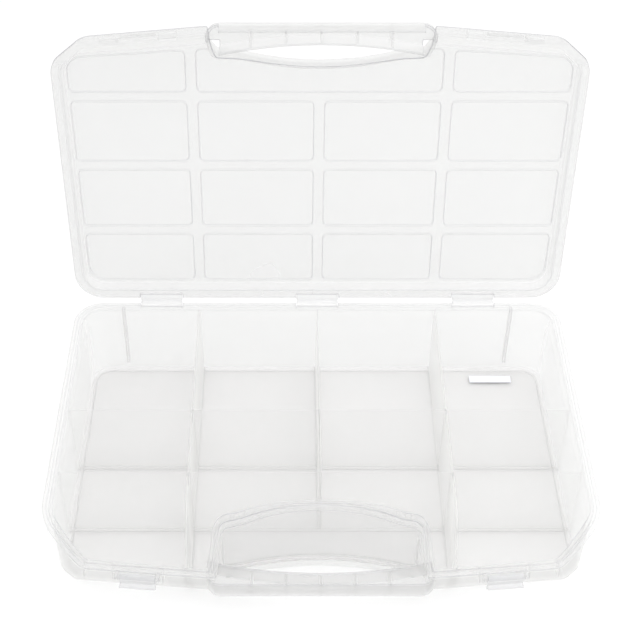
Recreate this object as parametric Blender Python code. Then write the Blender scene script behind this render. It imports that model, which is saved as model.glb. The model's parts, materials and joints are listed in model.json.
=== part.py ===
"""Translucent compartment case with a flip lid, two snap latches and a split carry grip.

Frame: +Z up, +X to the right, the grip at -Y and the hinge at +Y. The origin is the centre
of the underside. Lengths are written in millimetres and turned into metres by MM.
The lid is drawn closed and then turned open about the hinge axis through its parent empty.
"""

import math

import bmesh
import bpy
from mathutils import Matrix, Vector

MM = 0.001

# Driving dimensions of the tray, in millimetres.
HALF_WIDTH = 165.0
FRONT_FLARE = 2.0
REAR_Y = 107.5
CORNER_FRONT_Y = -92.4
MIDDLE_FRONT_Y = -101.2
MIDDLE_HALF = 67.0
RIM_Z = 61.0
FRONT_RIM_Z = 36.0
SLOPE_TOP_Y = -70.0
SLOPE_FOOT_Y = -94.0
WALL = 1.8
FLOOR = 1.8
SIDE_DRAFT = 0.8
FRONT_DRAFT = 11.5
REAR_RADIUS = 15.0
CHAMFER_SIDE_Y = -76.0
CHAMFER_FRONT_X = 146.0
CHAMFER_RADIUS = 9.0
CHAMFER_SLIDE = (0.34, 0.44)
FOOT_CORNER_SHIFT = (12.0, 0.5)
BOTTOM_RADIUS = 2.8
FLANGE = 4.7
FLANGE_THICKNESS = 3.0
GAP = 0.3
ARC_STEPS = 7

# Driving dimensions of the lid.
LID_TOP_Z = 73.0
LID_INSET = 0.8
LID_FRONT_LEAN = 22.0
LID_CORNER_SHIFT = (14.0, 11.0)
LID_EDGE = 1.2
LID_OPEN_DEGREES = 98.0
EMBOSS = 0.9
PANEL_BAND = 7.0
PANEL_BORDER = 3.1
PANEL_RADIUS = 3.0
PANEL_ROWS_Y = (62.0, 11.0, -40.0)

# Hinge and its three straps.
HINGE_Y = 114.2
HINGE_Z = 61.15
STRAP_WIDTH = 29.0
STRAP_DEPTH = 4.4
STRAP_THICKNESS = 1.3
STRAPS = (("left", -110.0), ("centre", 0.0), ("right", 110.0))

# Compartment dividers.
COLUMN_X = 83.0
REAR_CROSS_Y = 10.0
FRONT_CROSS_Y = -43.0
DIVIDER = 1.5

# Grip, its recess and its stiffening webs.
RECESS_HALF = 70.0
RECESS_BACK_Y = -65.5
RECESS_ARCH_RADIUS = 190.0
RECESS_ARCH_HALF = 52.0
RECESS_SHOULDER = (66.5, -74.0)
RECESS_RADIUS = 10.0
RECESS_FLANGE = 3.4
GRIP_HALF = 69.4
GRIP_FRONT_Y = -105.6
GRIP_BACK_Y = -96.0
GRIP_BACK_RADIUS = 280.0
GRIP_PART_Z = 28.0
GRIP_HEIGHT = 12.7
LID_GRIP_HEIGHT = 14.0
GRIP_SKIN = 1.6
GRIP_END_RADIUS = 8.0
GRIP_ROOM_X = (60.0, 68.2)
GRIP_ROOM_Y = -87.4
WEB_PITCH = 21.4
WEB_COUNT = 5
LID_RECESS_SHIFT = 1.0

# Snap latches: a flap on a pin in front of the tray's rim, and two ears on the lid.
LATCH_X = 112.3
LATCH_WIDTH = 22.0
LATCH_LENGTH = 10.0
LATCH_SKIN = 1.6
LATCH_HOOK_AT = 5.4
LATCH_HOOK_DEPTH = 3.2
LATCH_OUT = 2.5
PIN_Z = 34.2
PIN_RADIUS = 1.0
BORE_RADIUS = 1.35
BARREL_RADIUS = 2.1
LUG = 2.4
EAR_WIDTH = 11.0
EAR_INNER = 12.6
EAR_NEAR = 3.4
EAR_DEPTH = 12.5
EAR_HEIGHT = 6.0

# Small features.
FOOT_RIB_X = 137.0
FOOT_RIB_WIDTH = 2.6
LABEL_SIZE = (30.0, 6.4, 0.25)
LABEL_CENTRE = (126.0, 93.5)


def clear_scene():
    for obj in list(bpy.data.objects):
        bpy.data.objects.remove(obj, do_unlink=True)


def plastic(name, color, roughness, alpha=1.0):
    material = bpy.data.materials.new(name)
    material.use_nodes = True
    shader = material.node_tree.nodes["Principled BSDF"]
    shader.inputs["Base Color"].default_value = (*color, 1.0)
    shader.inputs["Roughness"].default_value = roughness
    shader.inputs["Metallic"].default_value = 0.0
    shader.inputs["Alpha"].default_value = alpha
    return material


def add_object(name, mesh, material=None):
    obj = bpy.data.objects.new(name, mesh)
    bpy.context.scene.collection.objects.link(obj)
    if material is not None:
        mesh.materials.append(material)
    return obj


def mesh_from(bm, name):
    bmesh.ops.recalc_face_normals(bm, faces=bm.faces)
    mesh = bpy.data.meshes.new(name)
    bm.to_mesh(mesh)
    bm.free()
    return mesh


def loft(name, loops):
    """Closed skin through loops of (x, y, z) points in millimetres, capped at both ends."""
    bm = bmesh.new()
    rings = [[bm.verts.new([c * MM for c in point]) for point in loop] for loop in loops]
    for low, high in zip(rings, rings[1:]):
        for i, vertex in enumerate(low):
            j = (i + 1) % len(low)
            bm.faces.new((vertex, low[j], high[j], high[i]))
    bm.faces.new(rings[0])
    bm.faces.new(rings[-1])
    return add_object(name, mesh_from(bm, name))


def prism(name, outline, low, high):
    """Upright extrusion of an (x, y) outline from height low to height high."""
    return loft(name, [[(x, y, z) for x, y in outline] for z in (low, high)])


def side_prism(name, profile, left, right):
    """Extrusion of a (y, z) profile along X."""
    return loft(name, [[(x, y, z) for y, z in profile] for x in (left, right)])


def block(name, low, high):
    outline = [(low[0], low[1]), (high[0], low[1]), (high[0], high[1]), (low[0], high[1])]
    return prism(name, outline, low[2], high[2])


def rod(name, centre, length, radius, sides=14):
    """Cylinder along X, centred at an (x, y, z) point."""
    turns = [math.tau * i / sides for i in range(sides)]
    profile = [(centre[1] + radius * math.cos(t), centre[2] + radius * math.sin(t)) for t in turns]
    return side_prism(name, profile, centre[0] - length / 2, centre[0] + length / 2)


def boolean(target, cutter, operation):
    """Apply one Boolean and remove the cutter."""
    modifier = target.modifiers.new(operation.lower(), "BOOLEAN")
    modifier.operation = operation
    modifier.solver = "EXACT"
    modifier.object = cutter
    bpy.context.view_layer.update()
    graph = bpy.context.evaluated_depsgraph_get()
    mesh = bpy.data.meshes.new_from_object(target.evaluated_get(graph))
    target.modifiers.clear()
    target.data = mesh
    bpy.data.objects.remove(cutter, do_unlink=True)
    return target


def cut(target, *cutters):
    for cutter in cutters:
        boolean(target, cutter, "DIFFERENCE")
    return target


def join(target, *others):
    for other in others:
        boolean(target, other, "UNION")
    return target


def keep_inside(target, other):
    return boolean(target, other, "INTERSECT")


def finish(obj, material, angle=35.0):
    """Weld what the Booleans left, give the material and shade round parts smooth."""
    bm = bmesh.new()
    bm.from_mesh(obj.data)
    bmesh.ops.remove_doubles(bm, verts=bm.verts, dist=2e-6)
    bmesh.ops.dissolve_degenerate(bm, edges=bm.edges, dist=2e-6)
    bm.to_mesh(obj.data)
    bm.free()
    obj.data.materials.clear()
    obj.data.materials.append(material)
    obj.data.shade_smooth()
    obj.data.set_sharp_from_angle(angle=math.radians(angle))
    return obj


def round_corners(corners, steps=ARC_STEPS):
    """Outline through corners of (x, y, radius), each corner rounded by an arc."""
    points = []
    count = len(corners)
    for i, (x, y, radius) in enumerate(corners):
        here = Vector((x, y))
        before = Vector(corners[i - 1][:2]) - here
        after = Vector(corners[(i + 1) % count][:2]) - here
        if radius <= 0.0:
            points.append((x, y))
            continue
        before.normalize()
        after.normalize()
        half = before.angle(after) / 2
        reach = radius / math.tan(half)
        centre = here + (before + after).normalized() * (radius / math.sin(half))
        start = here + before * reach - centre
        end = here + after * reach - centre
        sweep = start.angle_signed(end)
        for step in range(steps + 1):
            turn = Matrix.Rotation(-sweep * step / steps, 2)
            point = centre + turn @ start
            points.append((point.x, point.y))
    return points


def front_line_y(x):
    """Front of the wall at rim height, at a distance x from the middle."""
    share = (abs(x) - MIDDLE_HALF) / (HALF_WIDTH - MIDDLE_HALF)
    return MIDDLE_FRONT_Y + share * (CORNER_FRONT_Y - MIDDLE_FRONT_Y)


def plan(inset, side_shift=0.0, front_shift=0.0, corner_shift=(0.0, 0.0)):
    """The case's plan, moved inwards by inset; the shifts add draft and square the chamfers."""
    side = HALF_WIDTH - inset - side_shift
    rear = REAR_Y - inset - side_shift
    middle = MIDDLE_FRONT_Y + inset + front_shift
    front_slide, side_slide = [slide * (inset + FLANGE) for slide in CHAMFER_SLIDE]
    front_x = CHAMFER_FRONT_X + corner_shift[0] - front_slide
    side_y = CHAMFER_SIDE_Y + corner_shift[1] + side_slide
    half = [
        (MIDDLE_HALF, middle, 0.0),
        (front_x, front_line_y(front_x) + inset + front_shift, CHAMFER_RADIUS),
        (side + FRONT_FLARE, side_y, CHAMFER_RADIUS),
        (side, rear, REAR_RADIUS - inset),
    ]
    mirrored = [(-x, y, radius) for x, y, radius in reversed(half)]
    return round_corners(half + mirrored)


def tray_loop(inset, z, extra=0.0):
    """Plan of the tray's wall at height z; extra adds the bottom edge's rounding."""
    below = (RIM_Z - z) / RIM_Z
    forward = (FRONT_RIM_Z - z) / FRONT_RIM_Z
    corner = [shift * max(0.0, forward) for shift in FOOT_CORNER_SHIFT]
    outline = plan(inset + extra, SIDE_DRAFT * below, FRONT_DRAFT * forward, corner)
    return [(x, y, z) for x, y in outline]


def lid_loop(inset, z, extra=0.0):
    """Plan of the lid's wall at height z, upright below the rim and leaning in above it."""
    above = max(0.0, (z - RIM_Z) / (LID_TOP_Z - RIM_Z))
    lean = (z - FRONT_RIM_Z) / (LID_TOP_Z - FRONT_RIM_Z)
    corner = [shift * lean for shift in LID_CORNER_SHIFT]
    outline = plan(inset + extra, LID_INSET * above, LID_FRONT_LEAN * lean, corner)
    return [(x, y, z) for x, y in outline]


def rim_line(shift):
    """Height of the parting surface along Y, moved up by shift, as (y, z) points."""
    return [
        (140.0, RIM_Z + shift),
        (SLOPE_TOP_Y, RIM_Z + shift),
        (SLOPE_FOOT_Y, FRONT_RIM_Z + shift),
        (-140.0, FRONT_RIM_Z + shift),
    ]


def below_rim(name, shift):
    profile = rim_line(shift) + [(-140.0, -20.0), (140.0, -20.0)]
    return side_prism(name, profile, -200.0, 200.0)


def above_rim(name, shift):
    profile = rim_line(shift) + [(-140.0, 120.0), (140.0, 120.0)]
    return side_prism(name, profile, -200.0, 200.0)


def rim_slab(name, low, high):
    """Slab between two copies of the parting surface."""
    profile = rim_line(high) + list(reversed(rim_line(low)))
    return side_prism(name, profile, -200.0, 200.0)


def recess_outline(inset):
    """Plan of the grip recess, open to the front; inset moves it away from the compartments."""
    half = RECESS_HALF - inset
    shoulder_x = RECESS_SHOULDER[0] - inset
    shoulder_y = RECESS_SHOULDER[1] - inset
    radius = RECESS_ARCH_RADIUS - inset
    reach = RECESS_ARCH_HALF - inset
    arch = []
    for step in range(9):
        x = reach - 2 * reach * step / 8
        arch.append((x, RECESS_BACK_Y - inset - radius + math.sqrt(radius * radius - x * x), 0.0))
    right = [(half, -140.0, 0.0), (half, -99.0, 0.0), (shoulder_x, shoulder_y, RECESS_RADIUS - inset)]
    left = [(-x, y, turn) for x, y, turn in reversed(right)]
    return round_corners(right + arch + left, steps=4)


def grip_outline(inset):
    """Plan of the grip bar, its back edge bowed; inset gives the inside of its channel."""
    half = GRIP_HALF - inset
    front = GRIP_FRONT_Y + inset
    back = GRIP_BACK_Y - inset
    radius = GRIP_END_RADIUS - inset
    corners = [(-half, front, radius), (half, front, radius)]
    for step in range(9):
        x = half - 2 * half * step / 8
        corners.append((x, back + x * x / (2 * GRIP_BACK_RADIUS), 0.0))
    return round_corners(corners)


def grip_bar(name, low, high, open_low):
    """Channel bar between two heights, open towards the parting plane, with cross webs."""
    bar = prism(name, grip_outline(0.0), low, high)
    if open_low:
        hollow = prism("hollow", grip_outline(GRIP_SKIN), low - 5.0, high - GRIP_SKIN)
    else:
        hollow = prism("hollow", grip_outline(GRIP_SKIN), low + GRIP_SKIN, high + 5.0)
    for i in range(WEB_COUNT):
        x = (i - (WEB_COUNT - 1) / 2) * WEB_PITCH
        web_low = (x - GRIP_SKIN / 2, -130.0, low - 10.0)
        web_high = (x + GRIP_SKIN / 2, -90.0, high + 10.0)
        cut(hollow, block("web", web_low, web_high))
    return cut(bar, hollow)


def front_edge_y(x):
    """Outer edge of the rim flange along the front, at a distance x from the middle."""
    return front_line_y(x) - FLANGE


def front_edge_angle():
    return math.atan2(CORNER_FRONT_Y - MIDDLE_FRONT_Y, HALF_WIDTH - MIDDLE_HALF)


def latch_frame(side):
    """Matrix that puts latch parts, drawn along X at the origin, in front of the rim."""
    x = side * LATCH_X
    place = Matrix.Translation(Vector((x, front_edge_y(x) - LATCH_OUT, PIN_Z)) * MM)
    return place @ Matrix.Rotation(side * front_edge_angle(), 4, "Z")


def placed(obj, matrix):
    obj.data.transform(matrix)
    return obj


def latch_lugs(side):
    """Two lugs on the tray's flange that hold the ends of the latch pin."""
    lugs = []
    for end in (-1, 1):
        near = LATCH_WIDTH / 2 + GAP + 0.2
        low, high = sorted((end * near, end * (near + LUG)))
        lug = block("lug", (low, -BARREL_RADIUS, -2.2), (high, LATCH_OUT + 1.5, FRONT_RIM_Z - PIN_Z))
        cut(lug, rod("bore", (0.0, 0.0, 0.0), 60.0, BORE_RADIUS))
        lugs.append(placed(lug, latch_frame(side)))
    return lugs


def hinge_notches(low, high):
    """Pockets in a rear flange for the three hinge straps."""
    pockets = []
    for _, x in STRAPS:
        half = STRAP_WIDTH / 2 + GAP
        start = REAR_Y + FLANGE - 3.0
        pockets.append(block("pocket", (x - half, start, low), (x + half, start + 20.0, high)))
    return pockets


def foot_rib(side):
    """Upright rib outside the rear wall that the case stands on when set on its back."""
    x = side * FOOT_RIB_X
    low = (x - FOOT_RIB_WIDTH / 2, REAR_Y - SIDE_DRAFT - 1.0, 6.0)
    high = (x + FOOT_RIB_WIDTH / 2, REAR_Y + FLANGE - 0.6, RIM_Z - 1.0)
    return block("foot_rib", low, high)


def grip_room(side):
    """Clearance in the tray's recess flange for one end of the closed lid's grip."""
    left, right = sorted(side * x for x in GRIP_ROOM_X)
    return block("grip_room", (left, -120.0, GRIP_PART_Z), (right, GRIP_ROOM_Y, RIM_Z))


def lid_grip():
    """Upper half of the grip, its ends stepped so that they pass inside the tray's recess."""
    low = GRIP_PART_Z + GAP
    bar = grip_bar("grip", low, low + LID_GRIP_HEIGHT, open_low=True)
    inner = GRIP_ROOM_X[1] - 2 * GAP
    for side in (-1, 1):
        left, right = sorted((side * inner, side * 90.0))
        step = block("step", (left, -120.0, 0.0), (right, -60.0, RIM_Z))
        cut(bar, keep_inside(step, below_rim("under", 2 * GAP)))
    return bar


def tray_cavity():
    """Space inside the tray's walls, without the wall round the grip recess."""
    low_edge = BOTTOM_RADIUS * 0.3
    loops = [
        tray_loop(WALL, FLOOR, BOTTOM_RADIUS * 0.9),
        tray_loop(WALL, FLOOR + low_edge, low_edge),
        tray_loop(WALL, FLOOR + BOTTOM_RADIUS),
        tray_loop(WALL, FRONT_RIM_Z),
        tray_loop(WALL, 90.0),
    ]
    return cut(loft("cavity", loops), prism("recess", recess_outline(0.0), -10.0, 100.0))


def base_tray(material):
    low_edge = BOTTOM_RADIUS * 0.3
    loops = [
        tray_loop(0.0, 0.0, BOTTOM_RADIUS),
        tray_loop(0.0, low_edge, low_edge),
        tray_loop(0.0, BOTTOM_RADIUS),
        tray_loop(0.0, FRONT_RIM_Z),
        tray_loop(0.0, 80.0),
    ]
    tray = loft("base_tray", loops)
    flange = prism("flange", plan(-FLANGE), -5.0, 90.0)
    join(tray, keep_inside(flange, rim_slab("slab", -FLANGE_THICKNESS, FLANGE)))
    keep_inside(tray, below_rim("under", 0.0))
    for side in (-1, 1):
        join(tray, foot_rib(side))
        join(tray, *latch_lugs(side))
    cut(tray, tray_cavity())
    cut(tray, prism("mouth", recess_outline(WALL + RECESS_FLANGE), -10.0, 100.0))
    channel = prism("channel", recess_outline(WALL), -10.0, 100.0)
    cut(tray, keep_inside(channel, below_rim("under", -FLANGE_THICKNESS)))
    cut(tray, grip_room(-1), grip_room(1))
    join(tray, grip_bar("grip", GRIP_PART_Z - GRIP_HEIGHT, GRIP_PART_Z, open_low=False))
    cut(tray, *hinge_notches(RIM_Z - FLANGE_THICKNESS - 1.0, RIM_Z + 5.0))
    return finish(tray, material)


def lid_panels():
    """Corners of the lid's embossed panels, row by row from the hinge to the grip."""
    half_band = PANEL_BAND / 2
    far = 2.0 * HALF_WIDTH
    rows = [far] + [edge for y in PANEL_ROWS_Y for edge in (y + half_band, y - half_band)] + [-far]
    columns = (-far, -COLUMN_X, 0.0, COLUMN_X, far)
    panels = []
    for row in range(4):
        high, low = rows[2 * row], rows[2 * row + 1]
        spans = [(0, 1), (1, 2), (2, 3), (3, 4)] if row < 3 else [(0, 1), (1, 3), (3, 4)]
        for start, end in spans:
            left = columns[start] + half_band
            right = columns[end] - half_band
            panels.append([(left, low), (right, low), (right, high), (left, high)])
    return panels


def emboss(body, low, high):
    """Add the panels to a body between two heights, held inside the lid's wall."""
    for corners in lid_panels():
        outline = round_corners([(x, y, PANEL_RADIUS) for x, y in corners], steps=3)
        panel = prism("panel", outline, low, high)
        edge = [(x, y) for x, y, _ in lid_loop(PANEL_BORDER, LID_TOP_Z)]
        keep_inside(panel, prism("edge", edge, low - 1.0, high + 1.0))
        join(body, panel)
    return body


def lid_ears(side):
    """Two blocks on the lid's front rim, one on each side of the closed latch flap."""
    ears = []
    x = side * LATCH_X
    for end in (-1, 1):
        low, high = sorted((end * EAR_INNER, end * (EAR_INNER + EAR_WIDTH)))
        ear = block("ear", (low, EAR_NEAR, 0.0), (high, EAR_DEPTH, EAR_HEIGHT))
        place = Matrix.Translation(Vector((x, front_edge_y(x), FRONT_RIM_Z + GAP)) * MM)
        placed(ear, place @ Matrix.Rotation(side * front_edge_angle(), 4, "Z"))
        keep_inside(ear, above_rim("over", 2 * GAP))
        ears.append(ear)
    return ears


def lid_cavity():
    loops = [
        lid_loop(WALL, 20.0),
        lid_loop(WALL, RIM_Z),
        lid_loop(WALL, LID_TOP_Z - WALL - LID_EDGE),
        lid_loop(WALL, LID_TOP_Z - WALL, LID_EDGE * 0.8),
    ]
    return emboss(loft("cavity", loops), LID_TOP_Z - WALL - 1.0, LID_TOP_Z - WALL + EMBOSS)


def lid_shell(material):
    loops = [
        lid_loop(0.0, 20.0),
        lid_loop(0.0, RIM_Z),
        lid_loop(0.0, LID_TOP_Z - LID_EDGE),
        lid_loop(0.0, LID_TOP_Z, LID_EDGE * 0.8),
    ]
    lid = emboss(loft("lid_shell", loops), LID_TOP_Z - 1.0, LID_TOP_Z + EMBOSS)
    flange = prism("flange", plan(-FLANGE), -5.0, 90.0)
    join(lid, keep_inside(flange, rim_slab("slab", -FLANGE, GAP + FLANGE_THICKNESS)))
    keep_inside(lid, above_rim("over", GAP))
    outer_recess = recess_outline(LID_RECESS_SHIFT - WALL)
    cut(lid, cut(lid_cavity(), prism("recess", outer_recess, -10.0, 100.0)))
    cut(lid, prism("mouth", recess_outline(LID_RECESS_SHIFT), -10.0, 100.0))
    for side in (-1, 1):
        join(lid, *lid_ears(side))
    join(lid, lid_grip())
    cut(lid, *hinge_notches(RIM_Z - 5.0, RIM_Z + FLANGE_THICKNESS + 1.0))
    return finish(lid, material)


def hinge_straps(material, lid_axis):
    """Each strap as two leaves, one set in each rim, that meet at the hinge line."""
    half = STRAP_WIDTH / 2
    rear = HINGE_Y - GAP
    for name, x in STRAPS:
        low_top = HINGE_Z - 0.25
        leaf = block(
            f"hinge_leaf_base_{name}",
            (x - half, rear - STRAP_DEPTH, low_top - STRAP_THICKNESS),
            (x + half, rear, low_top),
        )
        finish(leaf, material)
        high_low = HINGE_Z + 0.25
        leaf = block(
            f"hinge_leaf_lid_{name}",
            (x - half, rear - STRAP_DEPTH, high_low),
            (x + half, rear, high_low + STRAP_THICKNESS),
        )
        finish(leaf, material)
        hang_on(leaf, lid_axis)


def lid_axis_empty():
    axis = bpy.data.objects.new("lid_axis", None)
    bpy.context.scene.collection.objects.link(axis)
    axis.location = Vector((0.0, HINGE_Y, HINGE_Z)) * MM
    axis.rotation_euler = (-math.radians(LID_OPEN_DEGREES), 0.0, 0.0)
    return axis


def hang_on(obj, axis):
    """Parent a part drawn in the closed case to an axis empty, so that it turns with it."""
    obj.data.transform(Matrix.Translation(-axis.location))
    obj.parent = axis


def latch(side, name, flap_material, pin_material):
    """Flap on its pin, hanging open: barrel, plate, hook rib and thickened finger edge."""
    half = LATCH_WIDTH / 2
    flap = rod(f"latch_flap_{name}", (0.0, 0.0, 0.0), LATCH_WIDTH, BARREL_RADIUS, sides=20)
    skin = LATCH_SKIN / 2
    outline = [
        (skin, 0.0),
        (-skin, 0.0),
        (-skin, -LATCH_HOOK_AT),
        (-skin - LATCH_HOOK_DEPTH, -LATCH_HOOK_AT),
        (-skin - LATCH_HOOK_DEPTH, -LATCH_HOOK_AT - 0.8),
        (-skin, -LATCH_HOOK_AT - 2.4),
        (-skin, -LATCH_LENGTH + 2.0),
        (-skin - 0.2, -LATCH_LENGTH + 0.5),
        (0.0, -LATCH_LENGTH),
        (skin + 0.5, -LATCH_LENGTH + 0.4),
        (skin, -LATCH_LENGTH + 2.4),
    ]
    join(flap, side_prism("plate", outline, -half, half))
    cut(flap, rod("bore", (0.0, 0.0, 0.0), 60.0, BORE_RADIUS))
    finish(flap, flap_material)
    pin = rod(f"latch_pin_{name}", (0.0, 0.0, 0.0), LATCH_WIDTH + 2 * LUG, PIN_RADIUS)
    finish(pin, pin_material)
    for obj in (flap, pin):
        obj.matrix_world = latch_frame(side)


def upright_plate(name, material, x, rear, front):
    """Divider along Y between two planes, cut to the tray's inside and to the rim."""
    half = DIVIDER / 2
    plate = block(name, (x - half, front, FLOOR + GAP), (x + half, rear, RIM_Z - 0.2))
    room = cut(loft("room", room_loops()), prism("recess", recess_outline(-GAP), -10.0, 100.0))
    keep_inside(plate, room)
    keep_inside(plate, below_rim("under", -0.2))
    return finish(plate, material)


def room_loops():
    inset = WALL + GAP
    low_edge = BOTTOM_RADIUS * 0.3
    return [
        tray_loop(inset, FLOOR + GAP, BOTTOM_RADIUS * 0.9),
        tray_loop(inset, FLOOR + GAP + low_edge, low_edge),
        tray_loop(inset, FLOOR + GAP + BOTTOM_RADIUS),
        tray_loop(inset, FRONT_RIM_Z),
        tray_loop(inset, 90.0),
    ]


def cross_plate(name, material, y):
    half = DIVIDER / 2
    plate = block(name, (-200.0, y - half, FLOOR + GAP), (200.0, y + half, RIM_Z - 0.2))
    keep_inside(plate, loft("room", room_loops()))
    return finish(plate, material)


def dividers(material):
    edge = DIVIDER / 2 + GAP
    cross_plate("cross_divider_rear", material, REAR_CROSS_Y)
    cross_plate("cross_divider_front", material, FRONT_CROSS_Y)
    for name, x in (("left", -COLUMN_X), ("centre", 0.0), ("right", COLUMN_X)):
        upright_plate(f"divider_rear_{name}", material, x, 150.0, REAR_CROSS_Y + edge)
        upright_plate(f"divider_middle_{name}", material, x, REAR_CROSS_Y - edge, FRONT_CROSS_Y + edge)
        if x:
            upright_plate(f"divider_front_{name}", material, x, FRONT_CROSS_Y - edge, -150.0)


def label(material):
    width, depth, thickness = LABEL_SIZE
    x, y = LABEL_CENTRE
    low = FLOOR + GAP
    tag = block(
        "floor_label",
        (x - width / 2, y - depth / 2, low),
        (x + width / 2, y + depth / 2, low + thickness),
    )
    return finish(tag, material)


def build():
    clear_scene()
    shell = plastic("frosted_plastic", (0.86, 0.86, 0.85), 0.35, alpha=0.5)
    plate = plastic("divider_plastic", (0.84, 0.84, 0.83), 0.4, alpha=0.5)
    strap = plastic("hinge_plastic", (0.9, 0.9, 0.9), 0.4, alpha=0.7)
    paper = plastic("label_paper", (0.95, 0.95, 0.97), 0.8)
    base_tray(shell)
    axis = lid_axis_empty()
    hang_on(lid_shell(shell), axis)
    hinge_straps(strap, axis)
    latch(-1, "left", strap, shell)
    latch(1, "right", strap, shell)
    dividers(plate)
    label(paper)


build()
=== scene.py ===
import math

import bmesh
import bpy
from mathutils import Matrix, Vector
from mathutils.geometry import delaunay_2d_cdt
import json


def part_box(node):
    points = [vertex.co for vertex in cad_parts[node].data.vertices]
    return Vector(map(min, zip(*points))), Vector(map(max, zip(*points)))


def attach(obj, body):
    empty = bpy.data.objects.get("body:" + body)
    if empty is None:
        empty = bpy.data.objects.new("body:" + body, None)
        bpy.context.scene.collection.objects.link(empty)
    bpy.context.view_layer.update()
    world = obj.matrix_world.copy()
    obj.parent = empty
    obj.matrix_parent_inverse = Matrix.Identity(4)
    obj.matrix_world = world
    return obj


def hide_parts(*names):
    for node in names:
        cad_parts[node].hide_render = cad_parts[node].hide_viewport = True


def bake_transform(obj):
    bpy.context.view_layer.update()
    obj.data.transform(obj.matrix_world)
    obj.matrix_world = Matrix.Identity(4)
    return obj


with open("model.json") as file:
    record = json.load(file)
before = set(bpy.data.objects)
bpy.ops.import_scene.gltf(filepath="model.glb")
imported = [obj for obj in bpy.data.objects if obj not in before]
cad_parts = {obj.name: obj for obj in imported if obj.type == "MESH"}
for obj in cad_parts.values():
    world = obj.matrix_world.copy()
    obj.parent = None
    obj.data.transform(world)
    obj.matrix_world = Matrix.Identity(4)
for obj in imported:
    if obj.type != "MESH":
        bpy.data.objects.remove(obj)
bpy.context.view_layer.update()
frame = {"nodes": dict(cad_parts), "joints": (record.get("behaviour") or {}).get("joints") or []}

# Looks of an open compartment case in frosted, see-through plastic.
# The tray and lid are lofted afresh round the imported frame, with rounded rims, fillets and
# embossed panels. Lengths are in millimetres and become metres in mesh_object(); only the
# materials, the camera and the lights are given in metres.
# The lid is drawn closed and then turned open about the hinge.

MM = 0.001
JOINTS = {joint["name"]: joint for joint in frame["joints"]}

# Tray walls and rim, with the overall sizes read from the frame.
TRAY_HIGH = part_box("base_tray")[1] / MM
WALL = 1.8
FLOOR = 1.8
FLANGE = 4.7
FLANGE_THICKNESS = 3.0
FRONT_FLARE = 2.0
HALF_WIDTH = TRAY_HIGH.x - FLANGE - FRONT_FLARE
REAR_Y = 107.5
RIM_Z = TRAY_HIGH.z
FRONT_RIM_Z = 36.0
CORNER_FRONT_Y = -92.4
MIDDLE_FRONT_Y = -101.2
MIDDLE_HALF = 67.0
SLOPE_TOP_Y = -70.0
SLOPE_FOOT_Y = -94.0
SLOPE_ROUNDING = 0.14
SIDE_DRAFT = 0.8
FRONT_DRAFT = 11.5
REAR_RADIUS = 15.0
CHAMFER_SIDE_Y = -76.0
CHAMFER_FRONT_X = 146.0
CHAMFER_RADIUS = 9.0
CHAMFER_SOFTENING = 1.9
CHAMFER_SLIDE = (0.34, 0.44)
FOOT_CORNER_SHIFT = (12.0, 0.5)
BOTTOM_RADIUS = 2.8
SHADED_FLOOR_HEIGHT = 2.2
BEAD_WIDTH = 0.9
BEAD_HEIGHT = 0.5
BEAD_PROFILE = ((-0.5, -0.1), (-0.4, 0.6), (-0.15, 1.0), (0.15, 1.0), (0.4, 0.6), (0.5, -0.1))
PARTING_GAP = 0.4

# Rounding of the rims. An arc's middle point lies ARC_MIDDLE of its radius from either edge.
RIM_ROUNDING = 0.55
ARC_MIDDLE = 0.3
FLANGE_FILLET = 0.9
FILLET_MIDDLE = 0.26
GROOVE = (0.5, 1.9)
GROOVE_DEPTH = 0.75
GROOVE_EDGE = 0.25
GROOVE_TAPER = 0.1
GROOVE_APPROACH = 1.2
# On a rim without a groove these distances take the place of the groove's stations.
FLAT_START, FLAT_END = 9, 16
FLAT_STATIONS = (3.1, 2.0, 0.9, -0.2)

# Lid.
LID_TOP_Z = 73.0
LID_INSET = 0.8
LID_FRONT_LEAN = 22.0
LID_CORNER_SHIFT = (14.0, 11.0)
LID_EDGE = 1.2
EMBOSS = 0.9
EMBOSS_SLOPE = 0.55
PANEL_BAND = 7.0
PANEL_BORDER = 3.4
PANEL_RADIUS = 3.4
PANEL_ROWS_Y = (62.0, 11.0, -40.0)
PANEL_END_GAP = 6.0
PANEL_STEPS = 5
PANEL_RISE = ((0.0, 0.0), (0.25, 0.12), (0.7, 0.75), (1.0, 1.0))
RADIUS_SHARE = 0.45
ARC_TURN = math.radians(30.0)
LEAST_COSINE = 0.3

# Hinge.
HINGE = Vector(JOINTS["lid_hinge"]["pos_m"]) / MM
LID_OPEN = math.radians(JOINTS["lid_hinge"]["range_deg"][1])
POCKET_DEPTH = 3.0
POCKET_REACH = 20.0
POCKET_MARGIN = 5.0
POCKET_SKIN = 1.0
STRAP_HALF = 14.5
STRAPS = {"left": -110.0, "centre": 0.0, "right": 110.0}
FILM_INSET = 0.4
FILM_BACK = 1.6
FILM_DROP = 0.95
FILM_HALF_THICKNESS = 0.22
FILM_SWELLING = 0.25

# Compartment dividers.
COLUMN_X = 83.0
REAR_CROSS_Y = 10.0
FRONT_CROSS_Y = -43.0
DIVIDER_TOP = 1.3
DIVIDER_FOOT = 1.7
DIVIDER_DROP = 0.6
DIVIDER_FLARE = 1.1
FLARE_SHARE = 0.3
HEAD_FLATNESS = 0.9
LEAST_DIVIDER = 0.6
FOOT_SINK = 0.2
SIDE_LAP = 0.5
REAR_LAP = 0.4
FRONT_LAP = 0.6
CROSS_LAP = 0.2

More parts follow.
